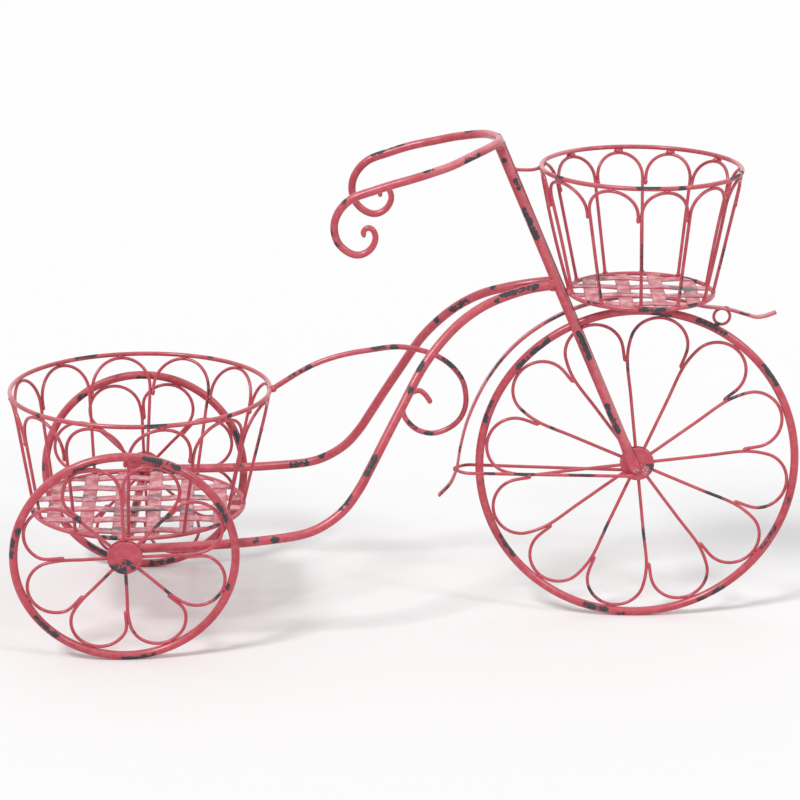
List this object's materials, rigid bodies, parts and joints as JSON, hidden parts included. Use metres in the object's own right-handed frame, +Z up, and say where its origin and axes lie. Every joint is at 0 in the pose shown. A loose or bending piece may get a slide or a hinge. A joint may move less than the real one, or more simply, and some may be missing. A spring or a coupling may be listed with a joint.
{
  "type": "bicycle planter",
  "caption": "Ornamental tricycle-shaped plant stand of bent steel tube and wire, with two open baskets with woven floors for flower pots and petal-spoked wheels.",
  "frame": {"origin": "on the ground, under the middle of the whole planter's box", "axes": "+X forwards to the small front basket and the large front wheel, +Y to the far side of the planter as seen in the picture, +Z up"},
  "size_m": [0.9514, 0.3632, 0.5973],
  "materials": {
    "tube_paint": "distressed rose-red paint on steel tube, chipped to charcoal primer at wear points",
    "wire_paint": "distressed rose-red paint on steel wire, rubbed paler along the tops",
    "slat_paint": "pale pink, brushed-over paint on thin steel strip with grey-charcoal rubs"
  },
  "bodies": {
    "root": {"handlebar": "tube_paint", "near_fork_leg": "tube_paint", "far_fork_leg": "tube_paint", "near_side_rail": "tube_paint", "far_side_rail": "tube_paint", "front_wheel_rim": "tube_paint", "front_wheel_petals": "wire_paint", "front_wheel_near_hub_plate": "tube_paint", "front_wheel_far_hub_plate": "tube_paint", "near_rear_wheel_rim": "tube_paint", "near_rear_wheel_petals": "wire_paint", "near_rear_wheel_near_hub_plate": "tube_paint", "near_rear_wheel_far_hub_plate": "tube_paint", "far_rear_wheel_rim": "tube_paint", "far_rear_wheel_petals": "wire_paint", "far_rear_wheel_near_hub_plate": "tube_paint", "far_rear_wheel_far_hub_plate": "tube_paint", "cross_axle": "tube_paint", "front_basket_rim": "tube_paint", "front_basket_floor_ring": "tube_paint", "front_basket_woven_floor": "slat_paint", "front_basket_cane_01": "wire_paint", "front_basket_cane_02": "wire_paint", "front_basket_cane_03": "wire_paint", "front_basket_cane_04": "wire_paint", "front_basket_cane_05": "wire_paint", "front_basket_cane_06": "wire_paint", "front_basket_cane_07": "wire_paint", "front_basket_cane_08": "wire_paint", "front_basket_cane_09": "wire_paint", "front_basket_cane_10": "wire_paint", "front_basket_cane_11": "wire_paint", "front_basket_cane_12": "wire_paint", "rear_basket_rim": "tube_paint", "rear_basket_floor_ring": "tube_paint", "rear_basket_woven_floor": "slat_paint", "rear_basket_cane_01": "wire_paint", "rear_basket_cane_02": "wire_paint", "rear_basket_cane_03": "wire_paint", "rear_basket_cane_04": "wire_paint", "rear_basket_cane_05": "wire_paint", "rear_basket_cane_06": "wire_paint", "rear_basket_cane_07": "wire_paint", "rear_basket_cane_08": "wire_paint", "rear_basket_cane_09": "wire_paint", "rear_basket_cane_10": "wire_paint", "rear_basket_cane_11": "wire_paint", "rear_basket_cane_12": "wire_paint", "front_basket_arm": "wire_paint", "fender_strip": "tube_paint", "fender_ring": "wire_paint", "fender_stay": "wire_paint", "scroll_brace": "tube_paint"}
  },
  "joints": []
}
